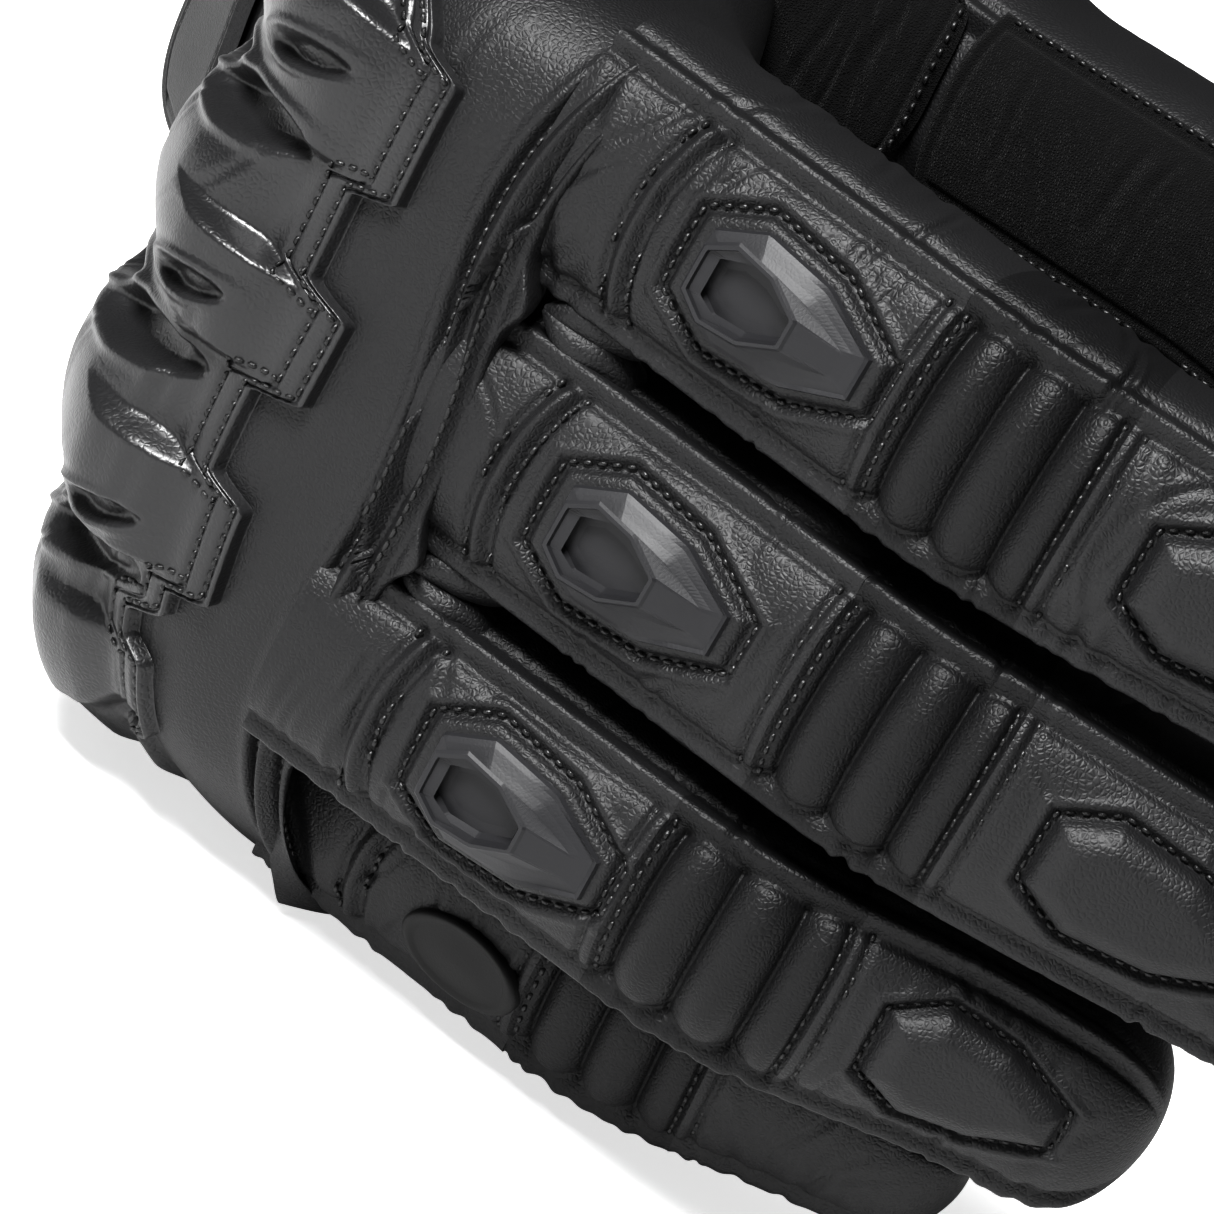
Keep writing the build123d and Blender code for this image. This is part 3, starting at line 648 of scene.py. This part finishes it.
SLEEVES = {}
SPOTS = {"index": (17.5, 61.5), "middle": (17.5, 65.5), "ring": (17.8, 60), "pinky": (None, None)}
for number, name in enumerate(FINGERS):
    height, depth, width, thick, curl, roll, near, far, bend, tip_bend = FINGERS[name]
    slider_at, pad_at = SPOTS[name]
    sleeve = Sleeve(finger_axes(name), width, thick, near, far, bend, tip_bend, slider=slider_at,
                    pad=pad_at, seed=11 + number)
    SLEEVES[name] = sleeve
    lower = sleeve.piece(name + "_sleeve", -9, near - ACCORDION_HALF, 0.3, hide)
    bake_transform(lower)
    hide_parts(name + "_back", name + "_palm", name + "_thumb_side", name + "_little_side",
                name + "_fold")
    ribs = sleeve.piece(name + "_accordion_ribs", near - ACCORDION_HALF, near + ACCORDION_HALF,
                        0.16, rib_hide_painted_shade)
    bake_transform(ribs)
    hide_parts(name + "_accordion")
    upper = sleeve.piece(name + "_fingertip", near + ACCORDION_HALF, None, 0.3, hide, close=True)
    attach(upper, name + "_end")
    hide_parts(name + "_end_back", name + "_end_palm")
    if pad_at:
        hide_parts(name + "_tip_pad")

    # stitches on the knuckle side of the accordion, then on the fingertip side
    w_line = np.linspace(-sleeve.seam + 1.2, sleeve.seam - 1.2, 60)
    runs_near, runs_far = [], []
    for at in (-1.0, 1.0):
        bow = BASE_SEAM_BOW * w_line ** 2
        runs_near.append(sleeve.line(2.0 + at * 1.45 + bow, w_line))
        runs_near.append(sleeve.line(near - 8.0 + at * 0.95, w_line))
        runs_far.append(sleeve.line(near + 8.0 + at * 0.95, w_line))
    if slider_at:
        runs_near.append(sleeve.line(*coffin_path(slider_at, *SLIDER_FRAME, 0.35)))
    if pad_at:
        runs_far.append(sleeve.line(*coffin_path(pad_at, *PAD_OUTLINE, 0.3)))
    finger_thread = stitch_mesh(name + "_stitches", runs_near, thread)
    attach(finger_thread, name + "_finger")
    tip_thread = stitch_mesh(name + "_tip_stitches", runs_far, thread)
    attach(tip_thread, name + "_end")


# ----------------------------------------
# Web rolls
# Where two fingers part, the side strips turn round the crotch as one rolled leather edge that
# runs back out along both fingers.
ROLL_RADIUS = 2.1
ROLL_REACH = (33, 27, 21, 15, 9.5, 4.5)      # along each finger, from its base hinge


def tube(name, path, radius, material, around):
    """A roll of leather along a path, drawn in at both ends."""
    path = np.asarray(path, float)
    ahead = np.gradient(path, axis=0)
    ahead /= np.linalg.norm(ahead, axis=1, keepdims=True)
    side = np.cross(ahead, np.array([0.3, 0.9, 0.2]))
    side /= np.linalg.norm(side, axis=1, keepdims=True)
    over = np.cross(side, ahead)
    run = np.minimum(np.arange(len(path)), np.arange(len(path))[::-1] * 1.6)
    size = radius * np.clip(run / 22, 0.03, 1) ** 0.5
    a = np.linspace(0, 2 * math.pi, around, endpoint=False)
    grid = (path[:, None] + side[:, None] * (np.cos(a) * size[:, None])[..., None]
            + over[:, None] * (np.sin(a) * size[:, None])[..., None])
    return skin_mesh(name, grid, material)


def curve_through(points, count):
    """Evenly spaced points on a smooth curve through the given ones."""
    points = np.asarray(points, float)
    run = np.concatenate([[0], np.cumsum(np.linalg.norm(np.diff(points, axis=0), axis=1))])
    d = np.linspace(0, run[-1], count)
    return np.stack([natural(d, run, points[:, c]) for c in range(3)], -1)


names = list(FINGERS)
crotch_depths = (3.5, 3.5, 8.0)
for first, second, back_by in zip(names, names[1:], crotch_depths):
    one, two = SLEEVES[first], SLEEVES[second]
    arm_one = [one.line(s, -(one.seam + 3.4), -0.5)[0] for s in ROLL_REACH]
    arm_two = [two.line(s, two.seam + 3.4, -0.5)[0] for s in ROLL_REACH]
    meet = (arm_one[-1] + arm_two[-1]) / 2 - (one.along + two.along) / 2 * (4 + back_by) - one.palm * 3.0
    for sleeve, arm, other in ((one, arm_one, arm_two), (two, arm_two, arm_one)):
        cheek = arm[-1] * 0.78 + other[-1] * 0.22 - sleeve.along * (2 + back_by * 0.7) - sleeve.palm * 2.4
        half = curve_through(arm + [cheek, meet], 110)
        name = first if sleeve is one else second
        roll_edge = tube("web_roll_" + first + "_" + second + "_" + name, half, ROLL_RADIUS, hide, around=24)
        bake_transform(roll_edge)

# ----------------------------------------
# Knuckle sliders
# Hard moulded plastic pieces, long eight-sided and domed, with a raised rim round a sunken
# pocket at the knuckle end; each sits in a stitched leather frame on its finger.
moulded = leather("grey_moulding", (0.014, 0.014, 0.0155), (0.02, 0.02, 0.022), 0.5, 0.08, 0.00006,
                  scale=1.2)
SLIDER_LENGTH, SLIDER_WIDTH = 17.5, 10.8
# each step of the outer side and of the rim and pocket: how far out of the outline, how high
SLIDER_SIDE = ((0.3, -0.9), (0.25, 0.3), (0.05, 0.8), (-0.4, 1.05), (-1.3, 1.45), (-2.2, 1.95))
SLIDER_POCKET = ((0.25, 2.35), (0.0, 2.6), (-0.35, 2.6), (-0.6, 1.5), (-1.0, 0.75), (-2.0, 0.6))


def slider_piece(name, sleeve, at, length, width):
    """Rings of points from the leather up over the rim and down into the pocket."""
    rings = []
    count = 96
    pocket_at = at - length * 0.17
    for grow, height in SLIDER_SIDE:
        s, w = coffin_path(at, length, width, grow, count + 1)
        s, w = s[:-1], w[:-1]
        n = sleeve.normal(s, w * 0)
        slope = 1 - 0.5 * smooth((s - at + 1) / (length * 0.45)) * (height > 1)
        rings.append(sleeve.raw(s, w) + n * (height * slope)[:, None])
    for grow, height in SLIDER_POCKET:
        s, w = coffin_path(pocket_at, length * 0.58, width * 0.7, grow, count + 1)
        s, w = s[:-1], w[:-1]
        rings.append(sleeve.raw(s, w) + sleeve.normal(s, w * 0) * height)
    s, w = np.full(count, pocket_at), np.zeros(count)
    rings.append(sleeve.raw(s, w) + sleeve.normal(s, w) * SLIDER_POCKET[-1][1])
    made = skin_mesh(name, np.array(rings), moulded)
    for poly in made.data.polygons:
        poly.use_smooth = False
    return made


for name in ("index", "middle", "ring"):
    piece = slider_piece(name + "_slider_shell", SLEEVES[name], SPOTS[name][0], SLIDER_LENGTH, SLIDER_WIDTH)
    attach(piece, name + "_finger")
    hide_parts(name + "_slider")

# ----------------------------------------
# Little-finger badge
# A plain oval of black rubber with a low rim, moulded in one piece and set on the back of the
# little finger's sleeve, where the other fingers carry their sliders.
rubber = leather("black_rubber", (0.005, 0.005, 0.005), (0.008, 0.008, 0.008), 0.55, 0.15, 0.00006,
                 scale=1.2)
BADGE_LENGTH, BADGE_WIDTH = 13.2, 7.4
BADGE_ALONG, BADGE_ROUND = 15, -1.0      # its middle, along the finger and round it
# each step of the oval: its share of the full size, its height over the leather
BADGE_STEPS = ((1.0, -0.3), (1.0, 0.7), (0.94, 1.05), (0.85, 1.1), (0.8, 0.85), (0.74, 0.8),
               (0.4, 1.0), (0.0, 1.05))
little = SLEEVES["pinky"]
badge_rings = []
for size, height in BADGE_STEPS:
    a = np.linspace(0, 2 * math.pi, 72, endpoint=False)
    s = BADGE_ALONG + BADGE_LENGTH / 2 * size * np.cos(a)
    w = BADGE_ROUND + BADGE_WIDTH / 2 * size * np.sin(a)
    badge_rings.append(little.raw(s, w) + little.normal(s, w) * height)
badge = skin_mesh("badge_oval", np.array(badge_rings), rubber)
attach(badge, "pinky_finger")
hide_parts("pinky_badge")

# ----------------------------------------
# Thumb
# A sleeve that leaves the heel of the hand, with a suede panel on the side that faces the
# index finger, sewn on with two rows of stitches.
suede = leather("black_suede", (0.003, 0.003, 0.0032), (0.009, 0.009, 0.0092), 0.95, 0.8, 0.00016,
                scale=1.7, sheen=0.04, shine=0.12)
THUMB_MIDDLE = 34        # from the thumb's base hinge to its middle one
knuckle, joint = np.array([38, 40, 86.0]), np.array([66, 16, 90.0])
t_along = (joint - knuckle) / np.linalg.norm(joint - knuckle)
t_palm = np.array([0, 0, -1.0]) + t_along * t_along[2]
t_palm /= np.linalg.norm(t_palm)
thumb = Sleeve((knuckle, t_along, t_palm, np.cross(t_along, t_palm)), 26, 24, THUMB_MIDDLE, 34, 10, 10,
               seed=71, base_seam=False, flare=0.55)
thumb_low = thumb.piece("thumb_sleeve", -40, THUMB_MIDDLE - ACCORDION_HALF, 0.4, hide)
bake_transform(thumb_low)
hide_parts("thumb_gusset", "thumb_back", "thumb_palm", "thumb_thumb_side", "thumb_little_side")
thumb_ribs = thumb.piece("thumb_accordion_ribs", THUMB_MIDDLE - ACCORDION_HALF,
                         THUMB_MIDDLE + ACCORDION_HALF, 0.2, rib_hide_painted_shade)
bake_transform(thumb_ribs)
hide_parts("thumb_accordion")
thumb_top = thumb.piece("thumb_tip", THUMB_MIDDLE + ACCORDION_HALF, None, 0.35, hide, close=True)
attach(thumb_top, "thumb_end")
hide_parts("thumb_end_back", "thumb_end_palm")


def suede_patch(name, sleeve, s0, s1, w0, w1, seed):
    """A sewn suede panel between two lengths and two widths of a sleeve, with its stitch rows."""
    S, W = np.meshgrid(np.linspace(0, 1, 190), np.linspace(0, 1, 90), indexing="ij")
    taper = 0.16 * smooth((S - 0.75) / 0.25) ** 2
    s = s0 + (s1 - s0) * (S - 0.06 * S * ((2 * W - 1) ** 2) ** 1.5)
    w = w0 + (w1 - w0) * (0.5 + (W - 0.5) * (1 - 2 * taper))
    edge = np.minimum(np.minimum(S, 1 - S) * (s1 - s0), np.minimum(W, 1 - W) * abs(w1 - w0))
    lift = 0.3 + 1.0 * smooth(edge / 0.9) - 0.35 * bump_line(edge, 1.9, 0.4)
    lift = lift + creases(s, w, seed, 20, 6, 0.3) * smooth((edge - 3) / 3)
    n = sleeve.normal(s, w)
    grid = sleeve.raw(s, w) + n * lift[..., None]
    axis_point = sleeve.origin + sleeve.along * (s0 + s1) / 2
    made = skin_mesh(name, grid, suede, around=False, inside=axis_point)
    rows = []
    for col in (5, 84):
        rows.append((grid[6:184, col] + n[6:184, col] * 0.05, n[6:184, col]))
    rows.append((grid[184, 5:85] + n[184, 5:85] * 0.05, n[184, 5:85]))
    return made, rows


patch, patch_rows = suede_patch("thumb_suede", thumb, -3, 58, -9.5, -29, 5)
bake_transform(patch)
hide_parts("thumb_patch")
crotch, crotch_rows = suede_patch("thumb_crotch_suede", thumb, -34, -4, -8, -30, 6)
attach(crotch, "hand")
crotch_stitches = stitch_mesh("thumb_crotch_stitches", crotch_rows, thread)
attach(crotch_stitches, "hand")
near_rows = [(points[:90], normals[:90]) for points, normals in patch_rows[:2]]
far_rows = [(points[110:], normals[110:]) for points, normals in patch_rows[:2]] + patch_rows[2:]
thumb_stitches = stitch_mesh("thumb_patch_stitches", near_rows, thread)
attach(thumb_stitches, "thumb")
thumb_end_stitches = stitch_mesh("thumb_end_stitches", far_rows, thread)
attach(thumb_end_stitches, "thumb_end")

# ----------------------------------------
# Cuff
# A short flared leather cuff, gathered where it is sewn to the hand and bound round its rim,
# with a knitted lining that runs on into the hand as a second piece.
knit = leather("black_knit", (0.006, 0.006, 0.0065), (0.012, 0.012, 0.0125), 0.85, 0.8, 0.0002, scale=0.8)
CUFF_FIRST, CUFF_RIM = 94, 149.2
CUFF_STITCHES = (144.6, 105.2)
CUFF_Y = np.array([93, 99, 112, 124, 137, 150.0])


def cuff_raw(y, k, grow=0.0):
    """Point on the cuff at a distance down the wrist and a section position, `grow` mm outside it."""
    y, k = np.broadcast_arrays(np.asarray(y, float), np.asarray(k, float))
    u, v = natural(k % 12, wrap_k, wrap_u), natural(k % 12, wrap_k, wrap_v)
    back = natural(y, CUFF_Y, np.array([25.5, 27.5, 30, 33, 36, 39])) + grow
    palm = natural(y, CUFF_Y, np.array([-17, -17.6, -19, -20.5, -23, -26])) - grow
    width = natural(y, CUFF_Y, np.array([79, 81, 83.5, 86.5, 90, 93])) + 2 * grow
    drop = natural(y, CUFF_Y, np.array([2, 2, 2, 2, 1, 0.0]))
    reach = palm + v * (back - palm) - drop * np.maximum(0, (0.1 - u) / 0.5) ** 2
    return np.stack([-reach, y, HAND_MIDDLE + u * width], -1)


outer_y = np.linspace(CUFF_FIRST, CUFF_RIM, 150)
c_k = np.linspace(0, 12, 260, endpoint=False)
Y, CK = np.meshgrid(outer_y, c_k, indexing="ij")
lift = 0.9 * bump_line(Y, 147.2, 1.6) - 0.5 * bump_line(Y, CUFF_STITCHES[0], 0.5)
lift = lift + 0.5 * bump_line(Y, 103, 1.2) - 0.4 * bump_line(Y, CUFF_STITCHES[1], 0.6)
lift = lift + creases(Y, CK * 14, 44, 30, 9, 0.5) * smooth((143 - Y) / 4)
puff = 0.8 * np.abs(np.sin((Y - CUFF_FIRST) * math.pi / 3.2)) * smooth((102 - Y) / 1.5)
outer = cuff_raw(Y, CK) + surface_normal(cuff_raw, Y, CK) * (lift + puff)[..., None]
roll = []
for step in range(1, 8):
    a = step / 8 * math.pi
    roll.append(cuff_raw(CUFF_RIM + 0.9 * math.sin(a), c_k, -1.2 + 1.2 * math.cos(a)))
inner = cuff_raw(np.linspace(CUFF_RIM, 97, 60)[:, None], c_k[None], -2.4)
liner = hand_raw(np.linspace(2, 118, 70)[:, None], c_k[None])
centre = liner.mean(axis=1, keepdims=True)
liner = centre + (liner - centre) * np.array([0.87, 1.0, 0.95])
cuff = skin_mesh("cuff_shell", np.concatenate([outer, np.array(roll)]), hide)
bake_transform(cuff)
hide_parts("cuff_back", "cuff_palm")
cuff_lining = skin_mesh("cuff_lining", inner, knit, flip=True)
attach(cuff_lining, "cuff")
hand_lining = skin_mesh("hand_lining", liner, knit, flip=True)
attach(hand_lining, "hand")
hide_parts("wrist_band")
once_round = np.linspace(0, 12, 500)
rim_rows = []
for at in CUFF_STITCHES:
    rim_rows.append((cuff_raw(at, once_round, 0.1), surface_normal(cuff_raw, at, once_round)))
cuff_stitches = stitch_mesh("cuff_stitches", rim_rows, thread, pitch=1.7, long=1.25)
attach(cuff_stitches, "cuff")

# ----------------------------------------
# Closing strap
# A leather tab over the back of the cuff that closes it. It is sewn down at its thumb-side end,
# and its rounded end is free and grips the cuff.
STRAP_MIDDLE, STRAP_HALF = 129, 12
STRAP_TOP, STRAP_LENGTH = 72, 56
SY, SK = np.meshgrid(np.linspace(0, 1, 60), np.linspace(0, 1, 120), indexing="ij")


def k_at_cuff(y, z):
    """Section position on the back of the cuff at a given height, by bisection."""
    low, high = np.full(np.shape(z), 0.0), np.full(np.shape(z), 6.0)
    for _ in range(30):
        mid = (low + high) / 2
        over = cuff_raw(y, mid)[..., 2] > z
        high, low = np.where(over, mid, high), np.where(over, low, mid)
    return (low + high) / 2


end_round = STRAP_HALF * (1 - np.sqrt(np.clip(1 - (np.clip(SK - 0.86, 0, 1) / 0.14) ** 2, 0, 1)))
strap_y = STRAP_MIDDLE + (SY - 0.5) * 2 * (STRAP_HALF - end_round)
edge = np.minimum(np.minimum(SY, 1 - SY) * 2 * STRAP_HALF, np.minimum(SK + 0.02, 1.0 - SK) * STRAP_LENGTH)
strap_lift = 0.9 + 1.5 * smooth(edge / 0.8) - 0.4 * bump_line(edge, 1.8, 0.35)
strap_at = k_at_cuff(strap_y, STRAP_TOP - STRAP_LENGTH * SK)
normal = surface_normal(cuff_raw, strap_y, strap_at)
strap_grid = cuff_raw(strap_y, strap_at) + normal * strap_lift[..., None]
strap = skin_mesh("strap_leather", strap_grid, hide, around=False, inside=(0, STRAP_MIDDLE, 46))
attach(strap, "strap")
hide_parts("closing_strap")
strap_stitches = stitch_mesh("strap_stitches", [
    (strap_grid[row, 6:104], normal[row, 6:104]) for row in (5, 54)],
    thread, pitch=1.7, long=1.25)
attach(strap_stitches, "strap")

# ----------------------------------------
# Palm patch and heel slider
# A suede patch across the palm and a hard moulded slider on the heel of the hand. Both lie on
# the hand shell and are sewn on round their edges.
def palm_piece(name, t0, t1, z0, z1, height, material):
    """A sewn piece on the palm between two lengths and two heights, with its stitch rows."""
    S, W = np.meshgrid(np.linspace(0, 1, 120), np.linspace(0, 1, 120), indexing="ij")
    corner = 0.16 * (2 * np.abs(W - 0.5)) ** 6
    t = t0 + (t1 - t0) * (S * (1 - corner) + corner / 2)
    z = z0 + (z1 - z0) * W
    k = k_at_height(t, z, back=False)
    n = surface_normal(hand_raw, t, k)
    edge = np.minimum(np.minimum(S, 1 - S) * abs(t1 - t0), np.minimum(W, 1 - W) * abs(z1 - z0))
    lift = 0.2 + height * smooth(edge / 0.9) - 0.35 * bump_line(edge, 2.0, 0.4)
    grid = hand_raw(t, k) + n * lift[..., None]
    made = skin_mesh(name, grid, material, around=False, inside=(0, 60, 46))
    rows = [(grid[:, 5], n[:, 5]), (grid[:, 114], n[:, 114]), (grid[5], n[5]), (grid[114], n[114])]
    return made, rows


palm, palm_rows = palm_piece("palm_suede", 42, 96, 12, 62, 1.4, suede)
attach(palm, "hand")
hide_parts("palm_patch")
palm_stitches = stitch_mesh("palm_stitches", palm_rows, thread, pitch=1.7, long=1.25)
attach(palm_stitches, "hand")
heel, _ = palm_piece("heel_slider_shell", 14, 32, 14, 40, 3.0, moulded)
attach(heel, "hand")
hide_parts("heel_slider")

# ----------------------------------------
# Camera, floor and light
# One large soft lamp, a weak fill and a dim sky over a sheet of white paper. The paper glows
# for the camera and only faintly for the glove, so that it stays white behind black leather.
def lamp(name, energy, size, location):
    """A square area lamp that looks at the middle of the glove."""
    data = bpy.data.lights.new(name, "AREA")
    data.energy = energy
    data.size = size
    holder = bpy.data.objects.new(name, data)
    bpy.context.collection.objects.link(holder)
    holder.location = location
    holder.rotation_euler = (Vector((0, -0.05, 0.05)) - holder.location).to_track_quat("-Z", "Y").to_euler()


lamp("key", 26, 0.32, (-0.35, -0.45, 0.75))
lamp("fill", 0.8, 0.9, (0.8, -0.5, 0.5))
world = bpy.data.worlds.new("studio")
world.use_nodes = True
bpy.context.scene.world = world
world.node_tree.nodes["Background"].inputs["Color"].default_value = (1, 1, 1, 1)
world.node_tree.nodes["Background"].inputs["Strength"].default_value = 0.1

FLOOR_HEIGHT = -0.0016      # just under the lowest leather
GLOW_FOR_GLOVE, GLOW_FOR_CAMERA = 0.12, 0.75
bpy.ops.mesh.primitive_plane_add(size=6)
floor = bpy.context.object
floor.name = "floor"
floor.location = (0, 0, FLOOR_HEIGHT)
paper = bpy.data.materials.new("paper")
paper.use_nodes = True
paper_nodes, paper_links = paper.node_tree.nodes, paper.node_tree.links
surface = paper_nodes["Principled BSDF"]
speck = paper_nodes.new("ShaderNodeTexNoise")
speck.inputs["Scale"].default_value = 8
ramp = paper_nodes.new("ShaderNodeMixRGB")
ramp.inputs["Color1"].default_value = (0.9, 0.9, 0.9, 1)
ramp.inputs["Color2"].default_value = (0.93, 0.93, 0.93, 1)
paper_links.new(speck.outputs["Fac"], ramp.inputs["Fac"])
paper_links.new(ramp.outputs["Color"], surface.inputs["Base Color"])
surface.inputs["Roughness"].default_value = 0.9
surface.inputs["Emission Color"].default_value = (1, 1, 1, 1)
seen = paper_nodes.new("ShaderNodeLightPath")
glow = paper_nodes.new("ShaderNodeMapRange")
glow.inputs["To Min"].default_value = GLOW_FOR_GLOVE
glow.inputs["To Max"].default_value = GLOW_FOR_CAMERA
paper_links.new(seen.outputs["Is Camera Ray"], glow.inputs["Value"])
paper_links.new(glow.outputs["Result"], surface.inputs["Emission Strength"])
floor.data.materials.append(paper)

CAMERA_DISTANCE = 0.52
SENSOR_WIDTH = 36
FOCAL_LENGTH = 6046 / 1214 * SENSOR_WIDTH
view = bpy.data.cameras.new("view")
eye = bpy.data.objects.new("view", view)
bpy.context.collection.objects.link(eye)
azimuth, elevation, roll = math.radians(-6.7), math.radians(20.6), math.radians(30.1)
aim = Vector(place((17.3, -23.6, 47.6)))
back = Vector((math.sin(azimuth) * math.cos(elevation),
               -math.cos(azimuth) * math.cos(elevation),
               math.sin(elevation)))
right = Vector((0, 0, 1)).cross(back).normalized()
up = back.cross(right)
right_rolled = right * math.cos(roll) + up * math.sin(roll)
up_rolled = -right * math.sin(roll) + up * math.cos(roll)
turn = Matrix((right_rolled, up_rolled, back)).transposed().to_4x4()
eye.matrix_world = Matrix.Translation(aim + back * CAMERA_DISTANCE) @ turn
view.sensor_width = SENSOR_WIDTH
view.lens = FOCAL_LENGTH
view.clip_start = 0.01
bpy.context.scene.camera = eye
bpy.context.scene.view_settings.view_transform = "Standard"
bpy.context.scene.view_settings.gamma = 0.72
